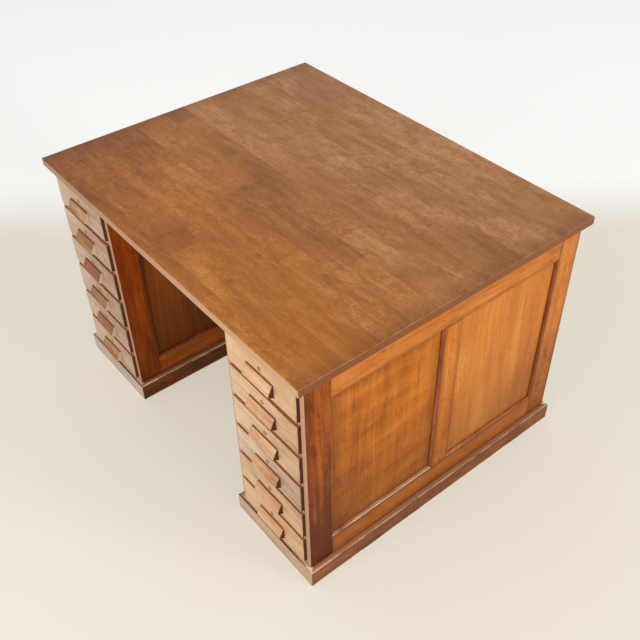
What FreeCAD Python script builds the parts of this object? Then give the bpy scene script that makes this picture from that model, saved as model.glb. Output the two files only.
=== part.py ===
"""Partners desk: two drawer pedestals on plinths under one wide top, with drawers on both long sides.

Millimetres. Origin on the floor under the middle of the desk, +X along the width, +Z up.
The front is at -Y and the back at +Y. Each pedestal is a pair of framed and panelled sides,
a stack of drawer dividers with runners, and a partition that parts front drawers from back ones.
"""
import FreeCAD, Part
import Sketcher
import os
import re

SIZES = {
    "desk_width": 1250,
    "desk_depth": 1000,
    "desk_height": 780,
    "top_thickness": 25,
    "top_rounding": 3,
    "top_side_overhang": 16,
    "top_front_overhang": 27,
    "pedestal_width": 313,
    "plinth_height": 62,
    "plinth_side_reach": 16,
    "plinth_front_reach": 11,
    "plinth_rounding": 5,
    "frame_thickness": 18,
    "stile_width": 74,
    "muntin_width": 60,
    "head_rail_width": 78,
    "foot_rail_width": 72,
    "panel_thickness": 6,
    "panel_recess": 9,
    "panel_groove": 9,
    "panel_play": 1,
    "bead_width": 6.5,
    "bead_rise": 7,
    "bead_quirk": 1.5,
    "drawer_count": 6,
    "divider_thickness": 14,
    "lower_rail": 14,
    "upper_rail": 24,
    "divider_depth": 50,
    "runner_width": 22,
    "partition_thickness": 12,
    "front_reach": 9.5,
    "front_thickness": 20,
    "front_play": 1,
    "drawer_side_play": 1,
    "drawer_stop_play": 0.5,
    "drawer_side": 10,
    "drawer_side_drop": 6,
    "drawer_lap": 12,
    "drawer_back": 10,
    "drawer_bottom": 5,
    "drawer_bottom_lift": 8,
    "drawer_groove": 5,
    "pull_length": 107,
    "pull_reach": 17,
    "pull_ledge": 4,
    "pull_foot": 15,
    "pull_nose": 26,
    "pull_lip": 3,
    "pull_top": 57,
    "screw_radius": 2.25,
    "screw_head_radius": 4.5,
    "screw_head_depth": 4,
    "screw_length": 40,
    "screw_inset": 58,
}

doc = FreeCAD.newDocument("partners_desk")
sheet = doc.addObject("Spreadsheet::Sheet", "Sizes")
for row, (alias, value) in enumerate(SIZES.items(), start=1):
    sheet.set(f"A{row}", alias)
    sheet.set(f"B{row}", str(value))
    sheet.setAlias(f"B{row}", alias)
doc.recompute()

# Places that the pieces share, as expressions in the sheet's sizes.
SIDE_X = "(desk_width / 2 - top_side_overhang)"
KNEE_X = f"({SIDE_X} - pedestal_width)"
MIDDLE_X = f"({SIDE_X} - pedestal_width / 2)"
BAY = (f"{KNEE_X} + frame_thickness", f"{SIDE_X} - frame_thickness")
FACE_Y = "(desk_depth / 2 - top_front_overhang)"
FRONT_Y = f"({FACE_Y} + front_reach)"
TOP_Z = "(desk_height - top_thickness)"
UPRIGHT = ("plinth_height", TOP_Z)
OPENING = f"(({TOP_Z} - plinth_height - lower_rail - upper_rail - (drawer_count - 1) * divider_thickness)"
OPENING += " / drawer_count)"
PITCH = f"({OPENING} + divider_thickness)"


def cells(text):
    """An expression in which every size names its cell."""
    return re.sub(r"[a-z_]+", lambda word: f"Sizes.{word.group()}", text)


def bind(piece, **expressions):
    """Tie properties of a piece to the sheet."""
    for name, text in expressions.items():
        piece.setExpression(name, cells(text))


def place(piece, x, y, z):
    """Tie a piece's position to the sheet."""
    bind(piece, **{"Placement.Base.x": x, "Placement.Base.y": y, "Placement.Base.z": z})


def flip(span):
    """The span's mirror image through zero."""
    low, high = span
    return f"-({high})", f"-({low})"


def sided(sign, span):
    """A span on the positive side, or its mirror image on the negative side."""
    return span if sign > 0 else flip(span)


def board(name, x, y, z):
    """A rectangular board between two expressions on each axis."""
    box = doc.addObject("Part::Box", name)
    lengths = [f"({high}) - ({low})" for low, high in (x, y, z)]
    bind(box, Length=lengths[0], Width=lengths[1], Height=lengths[2])
    place(box, x[0], y[0], z[0])
    return box


def join(name, pieces):
    """One solid made of several."""
    solid = doc.addObject("Part::MultiFuse", name)
    solid.Shapes = pieces
    solid.Refine = True
    return solid


def cut(name, base, tools):
    """A solid with grooves or rebates taken out of it."""
    tool = tools[0]
    if len(tools) > 1:
        tool = join(f"{name}_tools", tools)
    solid = doc.addObject("Part::Cut", name)
    solid.Base = base
    solid.Tool = tool
    return solid


def rounded(name, base, radius, wanted):
    """A solid with the edges that meet a test rounded off."""
    doc.recompute()
    edges = enumerate(base.Shape.Edges, start=1)
    solid = doc.addObject("Part::Fillet", name)
    solid.Base = base
    solid.Edges = [(index, radius, radius) for index, edge in edges if wanted(edge.BoundBox)]
    return solid


def node(name, pieces):
    """A named sub-part that keeps its pieces as separate solids."""
    part = doc.addObject("Part::Compound", name)
    part.Label = name
    part.Links = pieces
    return part


def desktop():
    """The glued-up top, with every long arris eased."""
    half = ("-desk_width / 2", "desk_width / 2")
    slab = board("desktop_slab", half, ("-desk_depth / 2", "desk_depth / 2"), (TOP_Z, "desk_height"))
    return node("desktop", [rounded("desktop_eased", slab, sheet.top_rounding, lambda box: True)])


def wedge(name, base, narrow, depth, height, narrow_height):
    """A bar with mitred ends: its long face lies on local Y zero and its short face at the depth."""
    bar = doc.addObject("Part::Wedge", name)
    bind(bar, Xmin=f"-({base}) / 2", Xmax=f"({base}) / 2", Ymin="0", Ymax=depth, Zmin="0", Zmax=height)
    bind(bar, X2min=f"-({narrow}) / 2", X2max=f"({narrow}) / 2", Z2min="0", Z2max=narrow_height)
    return bar


def turn(inward, outward):
    """The turn that points local Y inward and local Z outward."""
    inward = FreeCAD.Vector(*inward)
    outward = FreeCAD.Vector(*outward)
    return FreeCAD.Rotation(inward.cross(outward), inward, outward, "ZYX")


def plinth(side, sign):
    """Four mitred boards with a rounded upper edge, under one pedestal."""
    low = f"({KNEE_X} - plinth_side_reach)"
    high = f"({SIDE_X} + plinth_side_reach)"
    reach = f"({FACE_Y} + plinth_front_reach)"
    thickness = "(plinth_side_reach + frame_thickness)"
    middle = MIDDLE_X if sign > 0 else f"-{MIDDLE_X}"
    ends = {"left": sided(sign, (low, high))[0], "right": sided(sign, (low, high))[1]}
    runs = {
        "front": (f"{high} - {low}", (0, 1, 0), middle, f"-{reach}"),
        "back": (f"{high} - {low}", (0, -1, 0), middle, reach),
        "left": (f"2 * {reach}", (1, 0, 0), ends["left"], "0"),
        "right": (f"2 * {reach}", (-1, 0, 0), ends["right"], "0"),
    }
    boards = []
    for edge, (length, inward, x, y) in runs.items():
        name = f"{side}_plinth_{edge}"
        short = f"{length} - 2 * {thickness}"
        bar = wedge(f"{name}_bar", length, short, thickness, "plinth_height", "plinth_height")
        bar.Placement.Rotation = turn(inward, (0, 0, 1))
        place(bar, x, y, "0")
        boards.append(rounded(name, bar, sheet.plinth_rounding, long_upper_edge(bar, inward)))
    return node(f"{side}_plinth", boards)


def long_upper_edge(bar, inward):
    """A test for the upper arris on the outer, longer face of a mitred bar."""
    along = "X" if inward[0] == 0 else "Y"

    def wanted(box):
        whole = bar.Shape.BoundBox
        level = abs(box.ZMin - whole.ZMax) < whole.DiagonalLength * Part.Precision.approximation()
        full = abs(getattr(box, f"{along}Length") - getattr(whole, f"{along}Length"))
        return level and full < whole.DiagonalLength * Part.Precision.approximation()

    return wanted


def side_frame(side, face, sign):
    """Stiles, rails and muntin of one framed side, grooved for its two panels."""
    name = f"{side}_{face}_frame"
    body, tongue = frame_spans(face, sign)
    front = f"(-{FACE_Y} + stile_width)"
    stile = (f"-{FACE_Y}", front)
    slot = (f"{front} - panel_groove", front)
    foot = "(plinth_height + foot_rail_width)"
    head = f"({TOP_Z} - head_rail_width)"
    stiles = []
    for end, spans in (("front", (stile, slot)), ("back", (flip(stile), flip(slot)))):
        blank = board(f"{name}_{end}_stile_blank", body, spans[0], UPRIGHT)
        groove = board(f"{name}_{end}_stile_groove", tongue, spans[1], UPRIGHT)
        stiles.append(cut(f"{name}_{end}_stile", blank, [groove]))
    between = (front, f"-{front}")
    tenoned = (f"{front} - panel_groove", f"-({front} - panel_groove)")
    rails = []
    heights = {
        "foot": (("plinth_height", foot), (f"{foot} - panel_groove", foot)),
        "head": ((head, TOP_Z), (head, f"{head} + panel_groove")),
    }
    for end, (height, slot) in heights.items():
        blank = board(f"{name}_{end}_rail_blank", body, between, height)
        tenon = board(f"{name}_{end}_rail_tenon", tongue, tenoned, height)
        groove = board(f"{name}_{end}_rail_groove", tongue, tenoned, slot)
        rails.append(cut(f"{name}_{end}_rail", join(f"{name}_{end}_rail_whole", [blank, tenon]), [groove]))
    width = ("-muntin_width / 2", "muntin_width / 2")
    slot = ("-muntin_width / 2", "-muntin_width / 2 + panel_groove")
    tall = (f"{foot} - panel_groove", f"{head} + panel_groove")
    blank = board(f"{name}_muntin_blank", body, width, (foot, head))
    tenon = board(f"{name}_muntin_tenon", tongue, width, tall)
    grooves = [board(f"{name}_muntin_groove_front", tongue, slot, tall)]
    grooves.append(board(f"{name}_muntin_groove_back", tongue, flip(slot), tall))
    muntin = cut(f"{name}_muntin", join(f"{name}_muntin_whole", [blank, tenon]), grooves)
    return node(name, stiles + rails + [muntin])


def frame_spans(face, sign):
    """The X spans of a framed side and of the panel in it, which sits back from the face that shows."""
    if face == "outer":
        body = (f"{SIDE_X} - frame_thickness", SIDE_X)
        tongue = (f"{SIDE_X} - panel_recess - panel_thickness", f"{SIDE_X} - panel_recess")
    else:
        body = (KNEE_X, f"{KNEE_X} + frame_thickness")
        tongue = (f"{KNEE_X} + panel_recess", f"{KNEE_X} + panel_recess + panel_thickness")
    return sided(sign, body), sided(sign, tongue)


def side_panels(side, sign):
    """The four thin panels of one pedestal, each with a mitred bead round the face that shows."""
    edge = (f"(-{FACE_Y} + stile_width)", "(-muntin_width / 2)")
    tall = ("(plinth_height + foot_rail_width)", f"({TOP_Z} - head_rail_width)")
    hold = "(panel_groove - panel_play)"
    pieces = []
    for face in ("outer", "inner"):
        tongue = frame_spans(face, sign)[1]
        outward = sign if face == "outer" else -sign
        plane = tongue[1] if outward > 0 else tongue[0]
        for end, wide in (("front", edge), ("back", flip(edge))):
            name = f"{side}_{face}_{end}"
            deep = (f"{wide[0]} - {hold}", f"{wide[1]} + {hold}")
            high = (f"{tall[0]} - {hold}", f"{tall[1]} + {hold}")
            pieces.append(board(f"{name}_panel", tongue, deep, high))
            pieces += beads(name, plane, outward, wide, tall)
    return node(f"{side}_side_panels", pieces)


def beads(name, plane, outward, wide, tall):
    """Four mitred strips that cover the joint between a panel and its frame."""
    across = f"({wide[1]} - ({wide[0]}))"
    upward = f"({tall[1]} - ({tall[0]}))"
    middle_y = f"(({wide[0]}) + ({wide[1]})) / 2"
    middle_z = f"(({tall[0]}) + ({tall[1]})) / 2"
    runs = {
        "foot": (across, (0, 0, 1), middle_y, tall[0]),
        "head": (across, (0, 0, -1), middle_y, tall[1]),
        "near": (upward, (0, 1, 0), wide[0], middle_z),
        "far": (upward, (0, -1, 0), wide[1], middle_z),
    }
    strips = []
    for edge, (length, inward, y, z) in runs.items():
        short = f"{length} - 2 * bead_width"
        strip = wedge(f"{name}_bead_{edge}", length, short, "bead_width", "bead_rise", "bead_quirk")
        strip.Placement.Rotation = turn(inward, (outward, 0, 0))
        place(strip, plane, y, z)
        strips.append(strip)
    return strips


def drawer_dividers(side, sign):
    """Rails and runners at every level of one pedestal, and the partition across its middle."""
    bay = sided(sign, BAY)
    near = (f"-{FACE_Y}", f"-{FACE_Y} + divider_depth")
    reach = (f"-{FACE_Y} + divider_depth", "-partition_thickness / 2")
    runners = {
        "left": (bay[0], f"{bay[0]} + runner_width"),
        "right": (f"{bay[1]} - runner_width", bay[1]),
    }
    partition = ("-partition_thickness / 2", "partition_thickness / 2")
    pieces = [board(f"{side}_partition", bay, partition, UPRIGHT)]
    for level in range(int(sheet.drawer_count) + 1):
        height = divider_height(level)
        for end in ("front", "back"):
            name = f"{side}_{end}_level_{level}"
            rail = near if end == "front" else flip(near)
            run = reach if end == "front" else flip(reach)
            pieces.append(board(f"{name}_rail", bay, rail, height))
            for hand, width in runners.items():
                pieces.append(board(f"{name}_{hand}_runner", width, run, height))
    return node(f"{side}_drawer_dividers", pieces)


def divider_height(level):
    """The Z span of a divider, counted from the floor. The lowest and the highest close the stack."""
    if level == 0:
        return "plinth_height", "plinth_height + lower_rail"
    low = f"({opening_floor(level - 1)} + {OPENING})"
    if level == int(sheet.drawer_count):
        return low, TOP_Z
    return low, f"{low} + divider_thickness"


def opening_floor(level):
    """The height of the runners that carry a drawer, counted from the floor."""
    return f"(plinth_height + lower_rail + {level} * {PITCH})"


def drawer(name, sign, facing, level):
    """A drawer box: a proud front with lapped sides, a back, and a bottom held in grooves."""
    floor = opening_floor(level)
    wide = sided(sign, (f"({BAY[0]} + drawer_side_play)", f"({BAY[1]} - drawer_side_play)"))
    low, high = wide
    face = f"-{FRONT_Y}"
    inside = f"({face} + front_thickness)"
    lapped = f"({inside} - drawer_lap)"
    rear = "(-partition_thickness / 2 - drawer_stop_play)"
    bed = (f"{floor} + drawer_bottom_lift", f"{floor} + drawer_bottom_lift + drawer_bottom")
    rim = f"{floor} + {OPENING} - drawer_side_drop"

    def part(piece, x, y, z):
        return board(f"{name}_{piece}", x, y if facing < 0 else flip(y), z)

    walls = {"left": (low, f"{low} + drawer_side"), "right": (f"{high} - drawer_side", high)}
    slots = {"left": f"{low} + drawer_side", "right": f"{high} - drawer_side + drawer_groove"}
    lapping = (lapped, inside)
    front_height = (f"{floor} + front_play", f"{floor} + {OPENING} - front_play")
    recesses = [part(f"{hand}_lap", wall, lapping, front_height) for hand, wall in walls.items()]
    recesses.append(part("front_groove", wide, (f"{inside} - drawer_groove", inside), bed))
    front = cut(f"{name}_front", part("front_blank", wide, (face, inside), front_height), recesses)
    pieces = [front]
    for hand, wall in walls.items():
        slot = (f"{slots[hand]} - drawer_groove", slots[hand])
        blank = part(f"{hand}_blank", wall, (lapped, rear), (floor, rim))
        groove = part(f"{hand}_groove", slot, (lapped, rear), bed)
        pieces.append(cut(f"{name}_{hand}_side", blank, [groove]))
    within = (f"{low} + drawer_side", f"{high} - drawer_side")
    seated = (f"{within[0]} - drawer_groove", f"{within[1]} + drawer_groove")
    pieces.append(part("bottom", seated, (f"{inside} - drawer_groove", rear), bed))
    pieces.append(part("back", within, (f"{rear} - drawer_back", rear), (bed[1], rim)))
    return node(name, pieces)


def pull(name, sign, facing, level):
    """A wedge-shaped wooden pull: its front leans out to a nose, and its foot slopes back under it."""
    outline = [
        ("0", "pull_foot"),
        ("pull_reach", "pull_nose"),
        ("pull_reach", "pull_nose + pull_lip"),
        ("pull_ledge", "pull_top"),
        ("0", "pull_top"),
    ]
    body = doc.addObject("PartDesign::Body", name)
    body.Label = name
    sketch = body.newObject("Sketcher::SketchObject", f"{name}_outline")
    planes = {feature.Role: feature for feature in body.Origin.OriginFeatures}
    sketch.AttachmentSupport = [(planes["YZ_Plane"], "")]
    sketch.MapMode = "FlatFace"
    draw_outline(sketch, outline)
    pad = body.newObject("PartDesign::Pad", f"{name}_bar")
    pad.Profile = sketch
    bind(pad, Length="pull_length")
    middle = MIDDLE_X if sign > 0 else f"-{MIDDLE_X}"
    back_turn = FreeCAD.Rotation(FreeCAD.Vector(0, 0, 1), 0 if facing < 0 else 180)
    body.Placement = FreeCAD.Placement(FreeCAD.Vector(), back_turn)
    start = f"{middle} - pull_length / 2" if facing < 0 else f"{middle} + pull_length / 2"
    front = f"-{FRONT_Y}" if facing < 0 else FRONT_Y
    place(body, start, front, f"{opening_floor(level)} + front_play")
    return body


def draw_outline(sketch, outline):
    """Closed straight lines through points given as distances out of and up the drawer front."""
    line_start, line_end = 1, 2
    origin = (-1, line_start)
    upright_axis = -2
    points = []
    for out, up in outline:
        points.append(FreeCAD.Vector(-sketch.evalExpression(cells(out)), sketch.evalExpression(cells(up)), 0))
    count = len(points)
    for index, point in enumerate(points):
        sketch.addGeometry(Part.LineSegment(point, points[(index + 1) % count]), False)
    for index in range(count):
        meet = (index, line_end, (index + 1) % count, line_start)
        sketch.addConstraint(Sketcher.Constraint("Coincident", *meet))
    for index, (out, up) in enumerate(outline):
        corner = (index, line_start)
        if out == "0":
            sketch.addConstraint(Sketcher.Constraint("PointOnObject", *corner, upright_axis))
        else:
            reach = Sketcher.Constraint("DistanceX", *corner, *origin, -points[index].x)
            sketch.setExpression(f"Constraints[{sketch.addConstraint(reach)}]", cells(out))
        rise = Sketcher.Constraint("DistanceY", *origin, *corner, points[index].y)
        sketch.setExpression(f"Constraints[{sketch.addConstraint(rise)}]", cells(up))


def desktop_screws():
    """Countersunk screws that go up through the highest rails of both pedestals into the top."""
    screws = []
    low = divider_height(int(sheet.drawer_count))[0]
    rail = f"({FACE_Y} - divider_depth / 2)"
    for side, sign in PEDESTALS.items():
        near, far = sided(sign, BAY)
        for end, y in (("front", f"-{rail}"), ("back", rail)):
            for hand, x in (("left", f"{near} + screw_inset"), ("right", f"{far} - screw_inset")):
                name = f"{side}_{end}_{hand}_screw"
                head = doc.addObject("Part::Cone", f"{name}_head")
                bind(head, Radius1="screw_head_radius", Radius2="screw_radius", Height="screw_head_depth")
                shank = doc.addObject("Part::Cylinder", f"{name}_shank")
                bind(shank, Radius="screw_radius", Height="screw_length")
                place(head, x, y, low)
                place(shank, x, y, low)
                screws.append(join(name, [head, shank]))
    return node("desktop_screws", screws)


PEDESTALS = {"left": -1, "right": 1}
ENDS = {"front": -1, "back": 1}

nodes = [desktop(), desktop_screws()]
for side, sign in PEDESTALS.items():
    nodes += [side_frame(side, face, sign) for face in ("outer", "inner")]
    nodes += [side_panels(side, sign), plinth(side, sign), drawer_dividers(side, sign)]
    for end, facing in ENDS.items():
        for number in range(1, int(sheet.drawer_count) + 1):
            level = int(sheet.drawer_count) - number
            nodes.append(drawer(f"{end}_{side}_drawer_{number}", sign, facing, level))
            nodes.append(pull(f"{end}_{side}_pull_{number}", sign, facing, level))
doc.recompute()

for piece in doc.Objects:
    if "Invalid" in piece.State or "Error" in piece.State:
        raise RuntimeError(f"{piece.Label} failed: {piece.State}")
for part in nodes:
    if part.Shape.isNull() or not part.Shape.isValid():
        raise RuntimeError(f"{part.Label} has no valid shape")

os.makedirs("parts", exist_ok=True)
for part in nodes:
    part.Shape.exportStep(os.path.join("parts", f"{part.Label}.step"))
    print(part.Label, len(part.Shape.Solids), "solids", round(part.Shape.Volume), "cubic mm")
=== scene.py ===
"""Looks of the partners desk: stained boards, veneered panels, wedge pulls and keyhole plates.

Metres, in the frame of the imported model. The front is at -Y, +X runs along the width and +Z is up.
Every board carries its own grain: its vertices hold where they lie along, across and through it.
"""
import math
import random
from dataclasses import dataclass

import bmesh
import bpy
from mathutils import Matrix, Vector


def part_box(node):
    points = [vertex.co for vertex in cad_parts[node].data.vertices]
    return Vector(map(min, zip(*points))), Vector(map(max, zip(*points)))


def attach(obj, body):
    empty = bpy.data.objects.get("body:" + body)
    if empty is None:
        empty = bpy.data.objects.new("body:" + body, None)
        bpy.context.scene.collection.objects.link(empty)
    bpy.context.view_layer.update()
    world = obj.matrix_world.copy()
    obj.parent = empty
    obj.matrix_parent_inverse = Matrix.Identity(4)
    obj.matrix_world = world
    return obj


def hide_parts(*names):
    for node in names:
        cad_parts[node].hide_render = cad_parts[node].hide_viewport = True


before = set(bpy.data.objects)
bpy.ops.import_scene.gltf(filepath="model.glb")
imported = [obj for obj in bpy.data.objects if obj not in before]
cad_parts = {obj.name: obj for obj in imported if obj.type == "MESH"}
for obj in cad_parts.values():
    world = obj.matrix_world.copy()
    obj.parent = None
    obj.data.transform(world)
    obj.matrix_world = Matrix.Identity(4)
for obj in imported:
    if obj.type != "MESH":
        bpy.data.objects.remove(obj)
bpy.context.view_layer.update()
rng = random.Random(11)

PEDESTALS = ("left", "right")
ENDS = {"front": -1, "back": 1}
X, Y, Z = 0, 1, 2

# Sizes of the boards inside each node's box.
STILE = 0.074
MUNTIN = 0.060
HEAD_RAIL = 0.078
FOOT_RAIL = 0.072
PANEL_RECESS = 0.009
PANEL_THICK = 0.006
PANEL_HOLD = 0.008
BEAD_WIDTH = 0.0065
BEAD_RISE = 0.007
BEAD_QUIRK = 0.0015
BEAD_FILLET = 0.001
PLINTH_BOARD = 0.034
PLINTH_ROUND = 0.005
TOP_ROUND = 0.003
LOWER_RAIL = 0.014
UPPER_RAIL = 0.024
DIVIDER = 0.014
RAIL_DEPTH = 0.050
RUNNER = 0.022
PARTITION = 0.012
DRAWER_COUNT = 6
FRONT_THICK = 0.020
FRONT_PLAY = 0.001
BOX_SIDE = 0.010
BOX_DROP = 0.005
BOX_LAP = 0.009
BOX_BACK = 0.010
BOX_BOTTOM = 0.005
BOX_LIFT = 0.008

# How far the edges of the boards are eased, the turn from which an edge is, the steps of the rounds, and how
# much large faces count where shading runs over an edge.
FINE_EASE = 0.0005
FRONT_EASE = 0.0013
PULL_EASE = 0.0011
CREASE = math.radians(25)
EASE_STEPS = 2
TOP_ROUND_STEPS = 4
ROUND_STEPS = 6
FLAT_FACE_WEIGHT = 100

# Shares of the pull's own depth, height and length, and the steps along it and across its scoop.
PULL_LEDGE_SHARE = 4 / 17
PULL_NOSE_SHARE = 11 / 42
PULL_LIP_SHARE = 3 / 42
SCOOP_DEPTH_SHARE = 0.36
SCOOP_END_SHARE = 0.09
SCOOP_RUN_SHARE = 25 / 28
PULL_STATIONS = 24
SCOOP_STEPS = 8

# Dovetails at the front of a drawer side, as shares of its height.
TAIL_MIDDLE_SHARES = (0.19, 0.5, 0.81)
TAIL_ROOT_SHARE = 0.085
TAIL_TIP_SHARE = 0.12
TAIL_PROUD = 0.0001

# The keyhole plates. The shares are of a plate's radius for its round, and of its rise for the others.
PLATE_DROP = 0.0245
PLATE_RADIUS = 0.0060
PLATE_PROUD = 0.0020
PLATE_ROUND_SHARE = 0.3
PLATE_EDGE_SHARE = 0.55
PLATE_LIP_SHARE = 0.94
PLATE_STEPS = 48
PLATE_ROUND_STEPS = 4
KEYHOLE_RADIUS = 0.0017
KEYHOLE_RISE = 0.0010
KEYHOLE_FOOT = 0.0034
KEYHOLE_SLOT = 0.0009
KEYHOLE_FLOOR_SHARE = 0.2
TINY = 1e-6

# The planks of the top from front to back. Each has the share of the depth where it ends, and its staves
# from left to right: the share of the width where a stave ends, how light it is at its left and right
# ends, and how pink it is.
# The pink grows towards the back: partly the planks' own tone and partly a painted reflection.
PLANKS = (
    (0.044, ((1.0, -1.3, 0.3, 0.0),)),
    (0.135, ((0.09, -1.5, -1.2, 0.0), (0.46, -0.8, -0.2, 0.0), (0.53, -0.7, -0.7, 0.0),
             (1.0, 0.1, 0.3, 0.0))),
    (0.238, ((0.10, -1.3, -1.0, 0.0), (1.0, -0.6, 0.5, 0.0))),
    (0.310, ((0.24, -1.0, -0.4, 0.05), (0.69, 0.1, -0.2, 0.1), (0.78, 0.5, 0.3, 0.1),
             (1.0, 0.0, -0.4, 0.25))),
    (0.419, ((0.42, -0.3, 0.2, 0.15), (0.79, -0.7, -0.5, 0.4), (1.0, 0.0, -0.2, 0.35))),
    (0.494, ((0.07, -0.8, -0.6, 0.3), (0.43, 0.4, -0.6, 0.35), (0.71, -0.4, -0.2, 0.5),
             (1.0, 0.6, 0.4, 0.65))),
    (0.600, ((0.38, 0.5, 0.3, 0.65), (1.0, 0.2, -0.2, 0.7))),
    (0.720, ((0.50, 0.0, 0.3, 0.75), (1.0, 0.0, -0.2, 0.85))),
    (0.860, ((1.0, 0.3, 0.0, 0.95),)),
    (1.000, ((0.60, 0.0, 0.3, 1.1), (1.0, 0.1, 0.1, 1.2))),
)

# The boards of a framed side: how light each is, how much lighter its far or upper end is, and how pink.
FRAME_TONES = {
    "outer": {"front_stile": (-1.75, 0.35, 0.0), "back_stile": (-0.2, 0.1, 1.0),
              "foot_rail": (-0.2, 0.2, 0.7), "head_rail": (0.1, 0.0, 0.8), "muntin": (0.0, 0.0, 0.5)},
    "inner": {"front_stile": (-0.4, 0.25, 0.0), "back_stile": (0.3, 0.0, 0.1),
              "foot_rail": (0.5, 0.0, 0.6), "head_rail": (0.3, 0.0, 0.1), "muntin": (0.2, 0.0, 0.1)},
}

# The panels: how light each is, and how much lighter its upper end and its back edge are. The near panel
# that faces the kneehole darkens towards its back edge, a painted shade.
PANEL_TONES = {
    ("outer", "near"): (-0.25, (0.1, 0.5)),
    ("outer", "far"): (0.5, (0.0, -0.25)),
    ("inner", "near"): (0.6, (0.0, -0.6)),
    ("inner", "far"): (-0.4, (0.0, 0.0)),
}

# The sill beads, which lie under the panels: how light and how pink each is. The outer far sill is made
# lighter as a faint painted highlight, and the outer near one has its arrises painted pale as a highlight.
SILL_TONES = {
    ("outer", "near"): (-0.8, 0.2),
    ("outer", "far"): (1.0, 0.1),
    ("inner", "near"): (-0.3, 0.1),
    ("inner", "far"): (-0.3, 0.1),
}
HIGHLIT_SILL = ("outer", "near")

# The drawers from the highest to the lowest: how light and how pink a front is, and how light its pull is.
# The front left bank is darker and pinker than the front right one, a painted shade and sheen, and the
# front right pulls are paler than the front left ones, a painted sheen.
DRAWER_TONES = {
    ("front", "left"): ((-0.7, 0.5, -1.5), (-0.9, 0.54, -1.3), (-1.1, 0.6, -1.9),
                        (-1.1, 0.6, -1.95), (-0.9, 0.54, -1.9), (-0.7, 0.42, -1.1)),
    ("front", "right"): ((0.0, 0.0, 0.1), (-0.5, 0.09, -0.5), (-0.4, 0.23, -0.4),
                         (-0.85, 0.52, -0.9), (-0.4, 0.07, -0.35), (-0.1, 0.0, -0.35)),
    ("back", "left"): ((-0.4, 0.14, -0.5), (-0.2, 0.07, -0.2), (-0.6, 0.2, -0.6),
                       (-0.3, 0.14, -0.3), (-0.5, 0.14, -0.1), (-0.2, 0.0, -0.4)),
    ("back", "right"): ((-0.2, 0.07, 0.0), (-0.5, 0.14, -0.4), (-0.3, 0.0, -0.2),
                        (-0.6, 0.2, -0.5), (-0.2, 0.14, -0.1), (-0.4, 0.07, -0.3)),
}
# The front left pulls have their end faces painted pale, a painted light on their ends.
LIT_END_PULLS = ("front", "left")
# Every front is lighter towards its left end, a painted light.
FRONT_LEAN = -0.6
PULL_PINK = 0.1

# How light and how pink the front and back faces of the plinths are, and how light their sides are. The
# left front face is pinker, a painted sheen.
PLINTH_FRONT_TONES = {"left": (0.6, 0.46), "right": (0.1, 0.1)}
PLINTH_BACK_TONES = (-0.1, 0.05)
PLINTH_OUTER_LIGHT = 0.0
# The sides that face the kneehole are darker: partly their own stain and partly painted shade.
PLINTH_KNEE_LIGHT = -1.0

# Boards without a tone of their own: how far they lie from the middle tone and how pink they are, at most.
LIGHT_SPREAD = 0.5
PINK_SPREAD = 0.2

# How far the grain of a board is moved at most.
GRAIN_SHIFT = 40

# Stands for the distance to the ends of a board that shows none, because it is mitred.
FAR = 9.0

# The figure of the woods. A stretch is features per metre along, across and through the grain, a turn is in
# radians, and a gate is the range over which a pattern comes in, with the values that it goes between where
# they aren't 0 and 1.
BEND_STRETCH = (1.6, 5.0, 5.0)
BEND_SWAY = 0.05
STREAK_STRETCH = (2.2, 42.0, 42.0)
LINE_STRETCH = (9.0, 150.0, 150.0)
LINE_WEIGHT = 0.55
FLECK_STRETCH = (42.0, 210.0, 210.0)
FLECK_GATE = (0.58, 0.74)
FLECK_SHARE = 0.5
BLOTCH_STRETCH = (2.2, 5.5, 5.5)
BLOTCH_TURN = -0.6
BLOTCH_WEIGHT = 0.7
CURL_STRETCH = (46.0, 40.0, 40.0)
CURL_TURN = 0.35
CURL_GATE = (0.36, 0.58, 0.3, 1.0)
KNOT_STRETCH = (16.0, 38.0, 38.0)
KNOT_GATE = (0.69, 0.76)
CLOUD_ROUGHNESS = 0.62
CLOUD_GATE = (0.3, 0.7)
ARRIS_CLOUD_GATE = (0.3, 0.6)
LIGHT_WEIGHT = 0.26
DARK_BOARD_GATE = (-2.6, -1.6, 0.5, 1.0)
DARK_FLANK_GATE = (-1.0, 0.4)
DARK_ARRIS_GATE = (-1.6, -0.8, 0.2, 1.0)
# Where the darkening near the floor fades out: partly grime and partly painted shade.
FOOT_GATE = (0.08, 0.52)
BARE_STREAK_STRETCH = (1.8, 55.0, 55.0)
BARE_LINE_STRETCH = (8.0, 420.0, 420.0)
BARE_FIGURE_GATE = (0.6, 1.5)
DUST_STRETCH = (6.0, 8.0, 8.0)
DUST_GATE = (0.3, 0.7, 0.6, 0.75)
TARNISH_STRETCH = (380.0, 380.0, 380.0)
TARNISH_GATE = (0.45, 0.72)
BRASS_GLOSS_GATE = (0.35, 0.7, 0.28, 0.5)
# The painted shade inside a keyhole: how its mottle is stretched and how rough it is.
HOLE_SHADE_STRETCH = (900.0, 900.0, 900.0)
HOLE_SHADE_ROUGHNESS = 0.9

# The edges of stained boards. A rim starts and ends at shares of its width, and the clouds fray it.
RIM_SPAN_SHARES = (-0.5, 0.7)
RIM_FRAY_SHARE = 0.9
FULL_REACH_SHARE = 0.25
END_DEPTH = 0.0012
END_ARRIS_GATE = (0.0001, 0.0006)

# How far the roughness of a stained wood strays from its gloss, how rough its coat is, how much its lines,
# flecks and streaks stand up, and how far any grain does.
GLOSS_SPREAD = 0.07
COAT_ROUGHNESS = 0.15
RELIEF_WEIGHTS = (0.6, 0.5, 0.4)
GRAIN_DEPTH = 0.0006

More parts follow.
